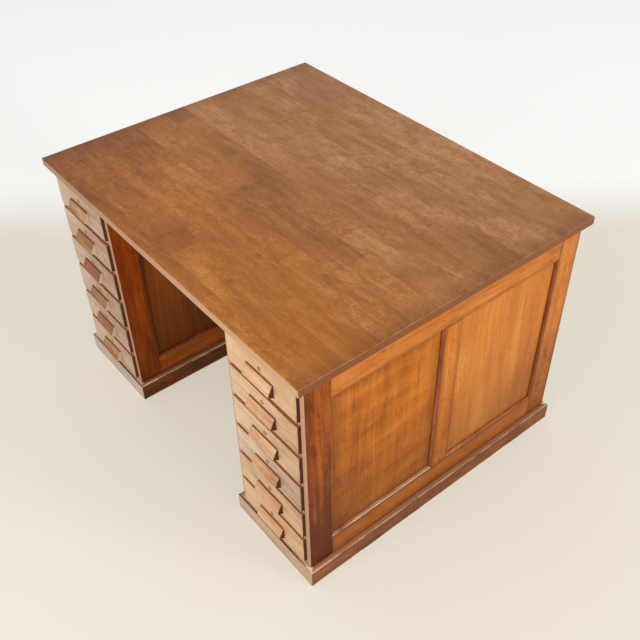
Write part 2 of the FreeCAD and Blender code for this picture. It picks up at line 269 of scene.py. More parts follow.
# Bare wood: how much streaks, lines, dust and its tone count, and how much its lines and streaks stand up.
BARE_WEIGHTS = (1.1, 0.5, 0.5, 0.2)
BARE_RELIEF_WEIGHTS = (0.7, 0.5)
BARE_RELIEF = 0.18

# The colour sockets of a mix node.
MIX_FIRST, MIX_SECOND, MIX_RESULT = 6, 7, 2

# The stage: how far the floor reaches, the way and the distances in which it turns white behind the desk, and
# how the camera sees it, as the share of its light that is even and the glow of the white.
FLOOR_REACH = 30.0
FLOOR_STRETCH = (0.9, 0.9, 0.9)
FLOOR_ROUGHNESS = 0.75
FLOOR_SHINE = 0.2
BACKDROP_WAY = (-0.785, 0.620, 0.0)
BACKDROP_GATE = (0.80, 1.30)
BACKDROP_GLOW = 0.09
EVEN_FLOOR_SHARE = 0.6

# The lamps: place, what they aim at, width and height, power in watts, and colour. The rest is even light.
LAMPS = {
    "front_light": ((0.6, -2.4, 1.5), (0.3, -0.4, 0.4), (1.4, 1.4), 33, (1.0, 0.99, 0.97)),
    "right_fill": ((3.7, 1.35, 2.1), (0.5, 0.0, 0.3), (1.3, 0.9), 58, (1.0, 1.0, 0.99)),
}
EVEN_LIGHT_STRENGTH = 0.84

# The camera, fitted to the corners of the top and of the plinths in the photograph. Its angles are azimuth,
# elevation and roll in degrees, and its sensor and lens are in millimetres.
CAMERA_PLACE = (1.63044, -1.22122, 2.07482)
CAMERA_ANGLES = (52.0194, 41.6021, -1.3269)
CAMERA_SENSOR = 36.0
CAMERA_LENS = 47.56
CAMERA_SHIFT_SHARE = 0.002


def srgb(red, green, blue):
    """A colour given as it looks on a screen, from 0 to 255, as the linear colour that shaders take."""
    linear = []
    for level in (red, green, blue):
        share = level / 255
        linear.append(share / 12.92 if share <= 0.04045 else ((share + 0.055) / 1.055) ** 2.4)
    return (*linear, 1.0)


DARK_STAIN = srgb(70, 34, 14)
END_GRAIN = srgb(88, 46, 24)
# The pale narrow faces of the frames: a painted sheen.
PAINTED_SHEEN_EDGE = srgb(186, 148, 116)
RED_LEDGE = srgb(122, 62, 34)
# Pale tints for arrises: partly rubbing and partly a painted highlight on the eased edges.
RUBBED_AND_HIGHLIT = srgb(222, 182, 138)
PALE_RUBBED_AND_HIGHLIT = srgb(236, 204, 168)
BRIGHT_BRASS = srgb(186, 162, 116)
TARNISHED_BRASS = srgb(96, 76, 48)
DARK_HOLE_SHADE = srgb(14, 10, 8)
# The painted shade inside a keyhole.
PALE_HOLE_SHADE = srgb(34, 24, 18)
DARK_FLOOR = srgb(222, 216, 204)
PALE_FLOOR = srgb(232, 227, 216)
EVEN_FLOOR = srgb(231, 223, 207)
BACKDROP_WHITE = srgb(252, 252, 250)
PURE_WHITE = srgb(255, 255, 255)
EVEN_LIGHT = srgb(246, 246, 246)

# What the colour of a fully pink board is multiplied by. On the top, the fronts and the plinth faces the
# pink is partly the wood's own tone and partly a painted sheen.
BLUSH = (1.0, 1.2, 2.6, 1.0)
PALE_BLUSH = (1.0, 1.24, 2.9, 1.0)
ASHEN = (1.0, 1.3, 2.1, 1.0)


class Shader:
    """A material that is put together node by node."""

    def __init__(self, name):
        self.material = bpy.data.materials.new(name)
        self.material.use_nodes = True
        self.tree = self.material.node_tree
        self.tree.nodes.clear()
        self.surface = self.tree.nodes.new("ShaderNodeBsdfPrincipled")
        output = self.tree.nodes.new("ShaderNodeOutputMaterial")
        self.tree.links.new(self.surface.outputs["BSDF"], output.inputs["Surface"])

    def feed(self, node, inputs):
        """Set inputs of a node, given by name or number, to plain values, or link them to other nodes."""
        for name, value in inputs.items():
            if isinstance(value, bpy.types.NodeSocket):
                self.tree.links.new(value, node.inputs[name])
            else:
                node.inputs[name].default_value = value

    def finish(self, inputs):
        """Feed the surface."""
        self.feed(self.surface, inputs)

    def node(self, kind, inputs, **settings):
        """The outputs of a new node."""
        node = self.tree.nodes.new(f"ShaderNode{kind}")
        for name, setting in settings.items():
            setattr(node, name, setting)
        self.feed(node, inputs)
        return node.outputs

    def attribute(self, name):
        """A vector that the mesh's vertices hold."""
        return self.node("Attribute", {}, attribute_name=name)["Vector"]

    def place(self):
        """The place in the object's own space."""
        return self.node("TexCoord", {})["Object"]

    def vector(self, operation, *values, result="Vector"):
        """An operation on vectors."""
        return self.node("VectorMath", dict(enumerate(values)), operation=operation)[result]

    def math(self, operation, *values):
        """An operation on numbers."""
        return self.node("Math", dict(enumerate(values)), operation=operation)[0]

    def parts(self, vector):
        """The three parts of a vector."""
        return list(self.node("SeparateXYZ", {0: vector}))

    def scaled(self, vector, factor):
        """A vector or colour times a number."""
        return self.node("VectorMath", {0: vector, "Scale": factor}, operation="SCALE")["Vector"]

    def turned(self, vector, angle):
        """The vector turned about the axis that goes through the board."""
        inputs = {"Vector": vector, "Angle": angle}
        return self.node("VectorRotate", inputs, rotation_type="Z_AXIS")["Vector"]

    def noise(self, vector, stretch, detail=3.0, roughness=0.55, distortion=0.0):
        """Noise that is stretched along the grain."""
        inputs = {"Vector": self.vector("MULTIPLY", vector, stretch), "Scale": 1.0, "Detail": detail,
                  "Roughness": roughness, "Distortion": distortion}
        return self.node("TexNoise", inputs)[0]

    def ranged(self, value, low, high, to_low=0.0, to_high=1.0, smooth=True):
        """The value taken from one range to another, and held at that range's ends."""
        inputs = {"Value": value, "From Min": low, "From Max": high, "To Min": to_low, "To Max": to_high}
        return self.node("MapRange", inputs, interpolation_type="SMOOTHSTEP" if smooth else "LINEAR")[0]

    def close(self, distance, reach):
        """One where a distance is nearly nothing, falling to zero at the reach."""
        return self.ranged(distance, reach * FULL_REACH_SHARE, reach, 1.0, 0.0)

    def times(self, *values):
        """The product of values."""
        total = values[0]
        for value in values[1:]:
            total = self.math("MULTIPLY", total, value)
        return total

    def weighted(self, *terms):
        """The sum of values, each times its weight."""
        total = 0.0
        for value, weight in terms:
            total = self.math("ADD", self.math("MULTIPLY", value, weight), total)
        return total

    def mix(self, share, first, second, blend="MIX"):
        """A share of the second colour over the first."""
        inputs = {"Factor": share, MIX_FIRST: first, MIX_SECOND: second}
        return self.node("Mix", inputs, data_type="RGBA", blend_type=blend)[MIX_RESULT]

    def ramp(self, share, colours):
        """A colour from a row of colours at even distances."""
        node = self.tree.nodes.new("ShaderNodeValToRGB")
        self.feed(node, {"Fac": share})
        elements = node.color_ramp.elements
        while len(elements) < len(colours):
            elements.new(0.5)
        for index, colour in enumerate(colours):
            elements[index].position = index / (len(colours) - 1)
            elements[index].color = colour
        return node.outputs["Color"]

    def bump(self, height, strength):
        """Let a pattern stand up from the surface."""
        inputs = {"Strength": strength, "Distance": GRAIN_DEPTH, "Height": height}
        self.finish({"Normal": self.node("Bump", inputs)["Normal"]})


@dataclass(frozen=True)
class Stain:
    """How a stained wood looks. Widths are in metres.

    The tones of the figure run from dark to light. Rims are the dark borders of a board, or of its ends alone
    where they are short, and flanks are its narrow faces, which begin under the skin of the wide ones. Pale
    flanks are painted light on some woods. A faded flank is darker where its board is. A wood that is the
    same all round has no flanks of another colour. The foot is what lies near the floor, darkened partly as
    grime and partly as painted shade. Arrises are edges, tinted partly by rubbing and partly as a painted
    highlight, and polish is the coat on them where it differs.
    """

    tones: tuple
    rim: tuple = DARK_STAIN
    rim_width: float = 0.012
    rim_share: float = 0.3
    short_rims: bool = False
    flank: tuple = RED_LEDGE
    flank_share: float = 0.0
    flank_fade: float = 0.0
    skin: float = 0.0012
    all_round: bool = False
    end: tuple = END_GRAIN
    end_share: float = 0.8
    foot_share: float = 0.0
    # The tint of the arrises and its share: partly rubbing and partly a painted highlight.
    worn: tuple = RUBBED_AND_HIGHLIT
    wear: float = 0.5
    arris_width: float = 0.0022
    blush: tuple = BLUSH
    streak: float = 0.9
    clouds: float = 1.0
    cloud_stretch: tuple = (9.0, 21.0)
    cloud_turn: float = 0.35
    cloud_detail: float = 5.0
    curl: float = 0.5
    mottle: float = 0.4
    spots: float = 0.3
    gloss: float = 0.42
    shine: float = 0.18
    coat: float = 0.06
    polish: float = None
    relief: float = 0.12


class StainedWood(Shader):
    """Fine hardwood under an old stain: streaks, clouds, flecks, dark rims, and arrises partly rubbed, partly
    a painted highlight.
    """

    def __init__(self, name, stain):
        super().__init__(name)
        self.stain = stain
        self.light, self.pink, _ = self.parts(self.attribute("tone"))
        self.grain = self.bent_grain()
        self.streaks = self.noise(self.grain, STREAK_STRETCH, detail=5.0, roughness=0.6)
        self.lines = self.noise(self.grain, LINE_STRETCH, detail=4.0, roughness=0.65)
        self.flecks = self.noise(self.grain, FLECK_STRETCH, detail=2.0, roughness=0.6)
        along, across = stain.cloud_stretch
        self.cloud = self.noise(self.turned(self.grain, stain.cloud_turn), (along, across, across),
                                stain.cloud_detail, CLOUD_ROUGHNESS, stain.curl)
        from_middle = self.vector("ABSOLUTE", self.attribute("local"))
        to_edges = self.vector("SUBTRACT", self.attribute("half"), from_middle)
        self.to_end, to_side, self.depth = self.parts(to_edges)
        self.nearest = self.math("MINIMUM", self.to_end, to_side)
        self.finish({"Base Color": self.worn(self.edged(self.figure()))})
        self.finish_surface()

    def bent_grain(self):
        """The place in the board, which sways a little across the grain."""
        grain = self.attribute("wood")
        sway = self.math("MULTIPLY", self.noise(grain, BEND_STRETCH, detail=2.0), BEND_SWAY)
        return self.vector("ADD", grain, self.node("CombineXYZ", {"Y": sway})[0])

    def figure(self):
        """The colour of the wood away from its edges."""
        stain = self.stain
        blotch = self.turned(self.grain, BLOTCH_TURN)
        blotch = self.noise(blotch, BLOTCH_STRETCH, detail=2.0, roughness=0.5)
        curls = self.turned(self.grain, CURL_TURN)
        curls = self.noise(curls, CURL_STRETCH, detail=5.0, roughness=0.7, distortion=1.4)
        curls = self.times(self.math("SUBTRACT", curls, 0.5), self.ranged(blotch, *CURL_GATE))
        weights = ((self.streaks, stain.streak), (self.lines, LINE_WEIGHT), (self.cloud, stain.clouds),
                   (blotch, BLOTCH_WEIGHT * stain.clouds))
        middle = sum(weight for _, weight in weights) / 2
        figure = self.weighted(*weights, (curls, stain.mottle), (self.light, LIGHT_WEIGHT))
        colour = self.ramp(self.ranged(figure, middle - 0.5, middle + 0.5, smooth=False), stain.tones)
        colour = self.mix(self.pink, colour, stain.blush, "MULTIPLY")
        colour = self.scaled(colour, self.ranged(self.light, *DARK_BOARD_GATE))
        flecks = self.times(self.ranged(self.flecks, *FLECK_GATE), FLECK_SHARE)
        colour = self.mix(flecks, colour, stain.tones[0])
        knots = self.ranged(self.noise(self.grain, KNOT_STRETCH, detail=1.0), *KNOT_GATE)
        colour = self.mix(self.times(knots, stain.spots), colour, stain.rim)
        # Near the floor the wood is darkened: partly grime and partly painted shade.
        height = self.parts(self.place())[Z]
        return self.mix(self.ranged(height, *FOOT_GATE, stain.foot_share, 0.0), colour, stain.rim)

    def edged(self, colour):
        """The colour with the board's rims, flanks and ends."""
        stain = self.stain
        frayed = self.math("MULTIPLY", self.cloud, -RIM_FRAY_SHARE * stain.rim_width)
        uneven = self.math("ADD", self.to_end if stain.short_rims else self.nearest, frayed)
        start, stop = [share * stain.rim_width for share in RIM_SPAN_SHARES]
        rim = self.times(self.ranged(uneven, start, stop, 1.0, 0.0), stain.rim_share)
        if stain.all_round:
            colour = self.mix(rim, colour, stain.rim)
        else:
            wide = self.close(self.depth, stain.skin)
            colour = self.mix(self.times(rim, wide), colour, stain.rim)
            fade = self.ranged(self.light, *DARK_FLANK_GATE, 1.0 - stain.flank_fade, 1.0, smooth=False)
            narrow = self.times(self.math("SUBTRACT", 1.0, wide), stain.flank_share)
            colour = self.mix(narrow, colour, self.scaled(stain.flank[:3], fade))
        end = self.times(self.close(self.to_end, END_DEPTH), stain.end_share)
        return self.mix(end, colour, stain.end)

    def worn(self, colour):
        """The colour with the arrises tinted, partly by rubbing and partly as a painted highlight, less so on
        dark boards.
        """
        stain = self.stain
        if stain.all_round:
            past_end = self.ranged(self.to_end, *END_ARRIS_GATE)
            arris = self.times(past_end, self.close(self.to_end, stain.arris_width))
        else:
            arris = self.arris()
        arris = self.times(arris, self.ranged(self.cloud, *ARRIS_CLOUD_GATE))
        arris = self.times(arris, self.ranged(self.light, *DARK_ARRIS_GATE))
        return self.mix(self.times(arris, stain.wear), colour, stain.worn)

    def arris(self):
        """One along the edges of the wide faces, falling to zero within the width of an arris."""
        width = self.stain.arris_width
        return self.times(self.close(self.nearest, width), self.close(self.depth, width))

    def finish_surface(self):
        """The gloss, the coat and the relief of the grain."""
        stain = self.stain
        dull, bright = stain.gloss + GLOSS_SPREAD, stain.gloss - GLOSS_SPREAD
        coat = stain.coat
        if stain.polish is not None:
            coat = self.ranged(self.arris(), 0.0, 1.0, stain.coat, stain.polish)
        roughness = self.ranged(self.cloud, *CLOUD_GATE, dull, bright)
        self.finish({"Roughness": roughness, "Specular IOR Level": stain.shine, "Coat Weight": coat,
                     "Coat Roughness": COAT_ROUGHNESS})
        grain = zip((self.lines, self.flecks, self.streaks), RELIEF_WEIGHTS)
        self.bump(self.weighted(*grain), stain.relief)


def stained_wood(name, *tones, **looks):
    """The material of a stained wood, whose tones are given as they look on a screen."""
    return StainedWood(name, Stain(tuple(srgb(*tone) for tone in tones), **looks)).material


def bare_wood(name, dark, light):
    """Unfinished inside wood, dry and pale, with darker grain and a little dust."""
    shader = Shader(name)
    grain = shader.attribute("wood")
    tone, _, _ = shader.parts(shader.attribute("tone"))
    streaks = shader.noise(grain, BARE_STREAK_STRETCH, detail=5.0, roughness=0.62)
    lines = shader.noise(grain, BARE_LINE_STRETCH, detail=3.0)
    dust = shader.noise(grain, DUST_STRETCH, detail=3.0)
    figure = shader.weighted(*zip((streaks, lines, dust, tone), BARE_WEIGHTS))
    colour = shader.ramp(shader.ranged(figure, *BARE_FIGURE_GATE, smooth=False), (dark, light))
    shader.finish({"Base Color": colour, "Roughness": shader.ranged(dust, *DUST_GATE)})
    shader.bump(shader.weighted(*zip((lines, streaks), BARE_RELIEF_WEIGHTS)), BARE_RELIEF)
    return shader.material


def aged_brass(name):
    """Brass with a brown tarnish that collects in patches."""
    shader = Shader(name)
    patches = shader.noise(shader.place(), TARNISH_STRETCH, detail=4.0)
    colour = shader.mix(shader.ranged(patches, *TARNISH_GATE), BRIGHT_BRASS, TARNISHED_BRASS)
    roughness = shader.ranged(patches, *BRASS_GLOSS_GATE)
    shader.finish({"Base Color": colour, "Metallic": 1.0, "Roughness": roughness})
    return shader.material


def dark_hollow(name):
    """Painted shade for the inside of a keyhole, on a dark sheet at its foot."""
    shader = Shader(name)
    shade_mottle = shader.noise(shader.place(), HOLE_SHADE_STRETCH, detail=2.0)
    shader.finish({"Base Color": shader.mix(shade_mottle, DARK_HOLE_SHADE, PALE_HOLE_SHADE), "Roughness": HOLE_SHADE_ROUGHNESS})
    return shader.material


# The top: its narrow edges are painted pale as a sheen, and its pink is partly a painted reflection.
TOP_WOOD = stained_wood(
    "top_wood", (124, 68, 22), (159, 95, 33), (188, 124, 54), rim=srgb(88, 42, 18), rim_width=0.06,
    rim_share=0.35, short_rims=True, flank=srgb(184, 146, 112), flank_share=0.85, flank_fade=0.3, skin=0.0035,
    end=srgb(122, 64, 14), end_share=0.95, wear=0.25, blush=PALE_BLUSH, streak=0.55, clouds=0.9,
    cloud_stretch=(6.5, 18.0), cloud_turn=-0.08, curl=1.2, mottle=1.3, spots=0.2, gloss=0.4, coat=0.1)

# The narrow faces of the frame boards, chiefly the stiles' front edges, are painted pale as a sheen.
FRAME_LOOKS = dict(flank=PAINTED_SHEEN_EDGE, flank_share=0.8, worn=DARK_STAIN, spots=0.45, shine=0.07, coat=0.02)
FRAME_WOOD = stained_wood(
    "frame_wood", (112, 50, 14), (190, 102, 26), (220, 140, 46), foot_share=0.4, streak=0.8, clouds=0.55,
    **FRAME_LOOKS)
# The frames that face the kneehole are darker and redder: partly their own stain and partly painted shade.
KNEE_WOOD = stained_wood(
    "knee_wood", (98, 38, 8), (160, 74, 14), (196, 110, 32), foot_share=0.25, streak=1.1, clouds=0.6,
    **FRAME_LOOKS)

PANEL_LOOKS = dict(rim_width=0.05, rim_share=0.42, foot_share=0.5, cloud_detail=3.0, mottle=0.2, spots=0.05)
RIBBON_WOOD = stained_wood(
    "ribbon_wood", (108, 50, 12), (186, 104, 24), (218, 140, 50), streak=0.5, clouds=0.8,
    cloud_stretch=(15.0, 4.5), cloud_turn=0.1, shine=0.09, coat=0.02, **PANEL_LOOKS)
# The kneehole panels are darker still: partly their own stain and partly painted shade.
KNEE_PANEL_WOOD = stained_wood(
    "knee_panel_wood", (70, 31, 13), (122, 60, 23), (158, 88, 40), streak=1.0, clouds=0.6,
    cloud_stretch=(4.0, 9.0), shine=0.05, coat=0.0, **PANEL_LOOKS)
STRIPED_WOOD = stained_wood(
    "striped_wood", (118, 58, 16), (186, 104, 26), (216, 138, 50), rim_width=0.03, foot_share=0.4,
    streak=0.6, clouds=0.8, cloud_stretch=(1.6, 11.0), cloud_turn=0.04, cloud_detail=3.0, mottle=0.1,
    spots=0.05, shine=0.14)

BEAD_TONES = ((98, 38, 10), (146, 68, 18), (186, 110, 48))
BEAD_LOOKS = dict(rim_width=0.002, rim_share=0.2, foot_share=0.2, gloss=0.28, shine=0.12, coat=0.25,
                  relief=0.02)
BEAD_WOOD = stained_wood("bead_wood", *BEAD_TONES, wear=0.1, **BEAD_LOOKS)
# The sill whose arrises are painted pale over their whole width: a painted highlight on the bead.
SILL_WOOD = stained_wood(
    "sill_wood", *BEAD_TONES, worn=PALE_RUBBED_AND_HIGHLIT, wear=1.0, arris_width=0.0034, **BEAD_LOOKS)

# The plinth sides: the top ledge is painted pale and the rounded arris paler, partly rubbing and partly a
# painted highlight; on the darker kneehole sides the ledge fades, a painted shade.
PLINTH_WOOD = stained_wood(
    "plinth_wood", (84, 38, 12), (128, 68, 24), (162, 98, 46), flank=srgb(182, 134, 98), flank_share=0.7,
    flank_fade=0.15, worn=PALE_RUBBED_AND_HIGHLIT, wear=0.9, arris_width=0.005, gloss=0.36, shine=0.12, coat=0.04,
    polish=1.0)
# The plinth faces: pale beige, partly a painted sheen, and their ledge under the drawers is painted pale as
# if lit, a painted light where it lies in shade.
PLINTH_FACE_WOOD = stained_wood(
    "plinth_face_wood", (146, 106, 74), (178, 144, 112), (200, 170, 138), rim=srgb(140, 100, 70),
    flank=PALE_RUBBED_AND_HIGHLIT, flank_share=0.8, worn=PALE_RUBBED_AND_HIGHLIT, arris_width=0.005, blush=ASHEN, clouds=0.7,
    gloss=0.36, polish=0.6)
# The drawer fronts: pale beige tones, partly the wood's own and partly a painted sheen.
FRONT_WOOD = stained_wood(
    "front_wood", (154, 114, 76), (194, 158, 118), (214, 182, 142), rim=srgb(146, 98, 60), rim_width=0.008,
    rim_share=0.25, flank=srgb(146, 84, 52), flank_share=0.85, end=srgb(72, 40, 23), end_share=0.9,
    worn=PALE_RUBBED_AND_HIGHLIT, blush=ASHEN, clouds=0.7, spots=0.25)

# The pulls: pale beige tones, partly the wood's own and partly a painted sheen.
PULL_TONES = ((142, 88, 50), (194, 150, 106), (220, 182, 138))
PULL_LOOKS = dict(rim=RED_LEDGE, rim_width=0.003, rim_share=0.85, all_round=True, end_share=0.95,
                  worn=PALE_RUBBED_AND_HIGHLIT, clouds=0.7, spots=0.1)
PULL_WOOD = stained_wood("pull_wood", *PULL_TONES, end=srgb(76, 44, 28), **PULL_LOOKS)
# The same pulls with end faces painted pale as if lit: painted light.
LIT_END_PULL_WOOD = stained_wood("lit_end_pull_wood", *PULL_TONES, end=srgb(206, 186, 166), **PULL_LOOKS)

BARE_WOOD = bare_wood("bare_wood", srgb(150, 112, 72), srgb(206, 172, 126))
BRASS = aged_brass("aged_brass")
HOLLOW = dark_hollow("keyhole_hollow")


def random_shift():
    """How far the grain of a board is moved, so that no two boards are alike."""
    return Vector([rng.uniform(-GRAIN_SHIFT, GRAIN_SHIFT) for axis in (X, Y, Z)])


class Boards:
    """A mesh of separate boards, each with its own grain, tone and edges."""

    def __init__(self):
        self.mesh = bmesh.new()
        layers = self.mesh.verts.layers.float_vector
        names = ("wood", "local", "half", "tone")
        self.wood, self.local, self.half, self.tone = [layers.new(name) for name in names]

    def box(self, low, high, grain, ease=FINE_EASE, steps=EASE_STEPS, light=None, pink=None, lean=(0.0, 0.0)):
        """A rectangular board with eased edges."""
        spans = list(zip(low, high))
        verts = [self.mesh.verts.new((x, y, z)) for x in spans[X] for y in spans[Y] for z in spans[Z]]
        sides = ((0, 1, 3, 2), (4, 6, 7, 5), (0, 4, 5, 1), (2, 3, 7, 6), (0, 2, 6, 4), (1, 5, 7, 3))
        faces = [self.mesh.faces.new([verts[index] for index in side]) for side in sides]
        self.ease({edge for face in faces for edge in face.edges}, ease, steps)
        self.finish(low, high, grain, light, pink, lean)

    def loft(self, rings, grain, ease=0.0, light=None, pink=None, ends=True):
        """A closed solid through rings with the same number of points, capped at both ends."""
        rows = [[self.mesh.verts.new(point) for point in ring] for ring in rings]
        faces = [self.mesh.faces.new(list(reversed(rows[0]))), self.mesh.faces.new(rows[-1])]
        for first, second in zip(rows, rows[1:]):
            faces += band(self.mesh, first, second)
        bmesh.ops.recalc_face_normals(self.mesh, faces=faces)
        edges = {edge for face in faces for edge in face.edges}
        self.ease({edge for edge in edges if edge.calc_face_angle(0) > CREASE}, ease, EASE_STEPS)
        spans = list(zip(*[point for ring in rings for point in ring]))
        low, high = [min(span) for span in spans], [max(span) for span in spans]
        self.finish(low, high, grain, light, pink, ends=ends)

    def ease(self, edges, offset, steps):
        """Round edges over."""
        if offset > 0:
            bmesh.ops.bevel(self.mesh, geom=list(edges), offset=offset, segments=steps, profile=0.5,
                            affect="EDGES", clamp_overlap=True)

    def finish(self, low, high, grain, light=None, pink=None, lean=(0.0, 0.0), ends=True):
        """Give the newest board's vertices their place in the board, their grain and their tone.

        A leaning tone is lighter towards the far ends along and across the board. A board without ends is
        mitred.
        """
        low, high = Vector(low), Vector(high)
        centre, half = (low + high) / 2, (high - low) / 2
        others = [axis for axis in (X, Y, Z) if axis != grain]
        across, through = sorted(others, key=lambda axis: -half[axis])
        shift = random_shift()
        finished = 1.0
        light = rng.uniform(-LIGHT_SPREAD, LIGHT_SPREAD) if light is None else light
        pink = rng.uniform(0.0, PINK_SPREAD) if pink is None else pink
        for vert in self.mesh.verts:
            if vert[self.tone].z == finished:
                continue
            place = vert.co - centre
            along = Vector((place[grain], place[across], place[through]))
            vert[self.wood] = along + shift
            vert[self.local] = along
            vert[self.half] = (half[grain] if ends else FAR, half[across], half[through])
            gain = lean[0] * along.x / half[grain] + lean[1] * along.y / half[across]
            vert[self.tone] = (light + gain, pink, finished)

    def piece(self, name, material, body, slot, *nodes):
        """Turn the boards into one piece that rides on a body and may stand for CAD nodes."""
        add_piece(name, self.mesh, material, body, slot, *nodes)


def band(mesh, first, second):
    """The faces between two closed rows of vertices."""
    corners = zip(first, first[1:] + first[:1], second[1:] + second[:1], second)
    return [mesh.faces.new(face) for face in corners]


def add_piece(name, mesh, material, body, slot, *nodes):
    """A piece with flat faces and soft edges, from a finished mesh."""
    data = bpy.data.meshes.new(name)
    mesh.to_mesh(data)
    mesh.free()
    data.materials.append(material)
    data.polygons.foreach_set("use_smooth", [True] * len(data.polygons))
    obj = bpy.data.objects.new(name, data)
    bpy.context.scene.collection.objects.link(obj)
    normals = obj.modifiers.new("flat_faces", "WEIGHTED_NORMAL")
    normals.keep_sharp = True
    normals.weight = FLAT_FACE_WEIGHT
    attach(obj, body)
    if nodes:
        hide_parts(*nodes)


def saw(mesh, faces, place, normal):
    """Cut some faces along a plane, so that the two sides of the cut are apart."""
    geometry = set(faces)
    geometry.update(edge for face in faces for edge in face.edges)
    geometry.update(vert for face in faces for vert in face.verts)
    cut = bmesh.ops.bisect_plane(mesh, geom=list(geometry), plane_co=place, plane_no=normal)
    edges = [item for item in cut["geom_cut"] if isinstance(item, bmesh.types.BMEdge)]
    bmesh.ops.split_edges(mesh, edges=edges)


def faces_between(mesh, front, rear):
    """The faces of a mesh whose middles lie between two places along Y."""
    return [face for face in mesh.faces if front < face.calc_center_median().y < rear]


def build_top():
    """The slab, cut so that each plank has its own grain and each stave its own tone."""
    low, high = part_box("desktop")
    size, middle = high - low, (low + high) / 2
    boards = Boards()
    boards.box(low, high, X, TOP_ROUND, TOP_ROUND_STEPS)
    mesh = boards.mesh
    for share, _ in PLANKS[:-1]:
        saw(mesh, mesh.faces[:], (0, low.y + share * size.y, 0), (0, 1, 0))
    front = low.y
    for share, staves in PLANKS:
        rear = low.y + share * size.y
        left = low.x
        shift = random_shift()
        for end, left_light, right_light, pink in staves:
            right = low.x + end * size.x
            if right < high.x:
                saw(mesh, faces_between(mesh, front, rear), (right, 0, 0), (1, 0, 0))
            plank = faces_between(mesh, front, rear)
            stave = [face for face in plank if left < face.calc_center_median().x < right]
            for vert in {vert for face in stave for vert in face.verts}:
                share_along = (vert.co.x - left) / (right - left)
                light = left_light + share_along * (right_light - left_light)
                vert[boards.local] = vert.co - middle
                vert[boards.wood] = vert.co - middle + shift
                vert[boards.half] = size / 2
                vert[boards.tone] = (light, pink, 0.0)
            left = right
        front = rear
    boards.piece("desktop_planks", TOP_WOOD, "desk", "top_wood", "desktop")


def build_frame(side, face):
    """Two stiles, two rails and a muntin, with fine joints where they meet."""
    node = f"{side}_{face}_frame"
    low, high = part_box(node)
    near, far = low.y + STILE, high.y - STILE
    foot, head = low.z + FOOT_RAIL, high.z - HEAD_RAIL
    boards = Boards()
    places = {
        "front_stile": ((low.y, near), (low.z, high.z), Z),
        "back_stile": ((far, high.y), (low.z, high.z), Z),
        "foot_rail": ((near, far), (low.z, foot), Y),
        "head_rail": ((near, far), (head, high.z), Y),
        "muntin": ((-MUNTIN / 2, MUNTIN / 2), (foot, head), Z),
    }
    for board, (deep, upright, grain) in places.items():
        light, lean, pink = FRAME_TONES[face][board]
        boards.box((low.x, deep[0], upright[0]), (high.x, deep[1], upright[1]), grain,
                   light=light, pink=pink, lean=(lean, 0.0))
    wood = FRAME_WOOD if face == "outer" else KNEE_WOOD
    boards.piece(f"{node}_boards", wood, "desk", "cabinet_wood", node)


def panel_openings(side, face):
    """The plane, outward direction and spans of each panel that shows in a framed side."""
    low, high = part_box(f"{side}_{face}_frame")
    outward = 1 if (side == "right") == (face == "outer") else -1
    plane = (high.x if outward > 0 else low.x) - outward * PANEL_RECESS
    upright = (low.z + FOOT_RAIL, high.z - HEAD_RAIL)
    for deep in ((low.y + STILE, -MUNTIN / 2), (MUNTIN / 2, high.y - STILE)):
        yield plane, outward, deep, upright


def build_panels(side):
    """The four panels of a pedestal and the beads round them."""
    panels = {"near": Boards(), "far": Boards(), "knee": Boards()}
    beads, highlit_sills = Boards(), Boards()
    for face in ("outer", "inner"):
        for plane, outward, deep, upright in panel_openings(side, face):
            back = plane - outward * PANEL_THICK
            low = (min(plane, back), deep[0] - PANEL_HOLD, upright[0] - PANEL_HOLD)
            high = (max(plane, back), deep[1] + PANEL_HOLD, upright[1] + PANEL_HOLD)
            place = "far" if deep[0] > 0 else "near"
            light, lean = PANEL_TONES[face, place]
            boards = panels["knee" if face == "inner" else place]
            boards.box(low, high, Z, light=light, pink=0.0, lean=lean)
            # The outer near sill gets the painted highlight.
            sills = highlit_sills if (face, place) == HIGHLIT_SILL else beads
            add_beads(beads, sills, plane, outward, deep, upright, SILL_TONES[face, place])
    panels["near"].piece(f"{side}_near_panels", RIBBON_WOOD, "desk", "panel_wood", f"{side}_side_panels")
    panels["far"].piece(f"{side}_far_panels", STRIPED_WOOD, "desk", "panel_wood")
    panels["knee"].piece(f"{side}_knee_panels", KNEE_PANEL_WOOD, "desk", "panel_wood")
    beads.piece(f"{side}_panel_beads", BEAD_WOOD, "desk", "cabinet_wood")
    highlit_sills.piece(f"{side}_highlit_sill", SILL_WOOD, "desk", "cabinet_wood")


def quarter(steps):
    """Angles from level to upright."""
    return [math.pi / 2 * step / steps for step in range(steps + 1)]


def bead_outline():
    """The bead's section: points as (distance from the frame, rise above the panel)."""
    reach, drop = BEAD_WIDTH - BEAD_FILLET, BEAD_RISE - BEAD_QUIRK - BEAD_FILLET
    rounded = [(BEAD_FILLET + reach * math.sin(angle), BEAD_QUIRK + drop * math.cos(angle))
               for angle in quarter(ROUND_STEPS)]
    return [(0.0, 0.0), (0.0, BEAD_RISE), (BEAD_FILLET, BEAD_RISE), *rounded, (BEAD_WIDTH, 0.0)]


def mitred(first, second, outline, point):
    """The two end rings of each of four boards round a rectangle, which is given by two spans.

    The outline holds how far in from the rectangle and how high its points lie, and point places them.
    """
    corners = [(first[0], second[0]), (first[1], second[0]), (first[1], second[1]), (first[0], second[1])]
    inwards = [(1, 1), (-1, 1), (-1, -1), (1, -1)]
    rings = []
    for (one, other), (along, across) in zip(corners, inwards):
        rings.append([point(one + along * inset, other + across * inset, rise) for inset, rise in outline])
    return list(zip(rings, rings[1:] + rings[:1]))


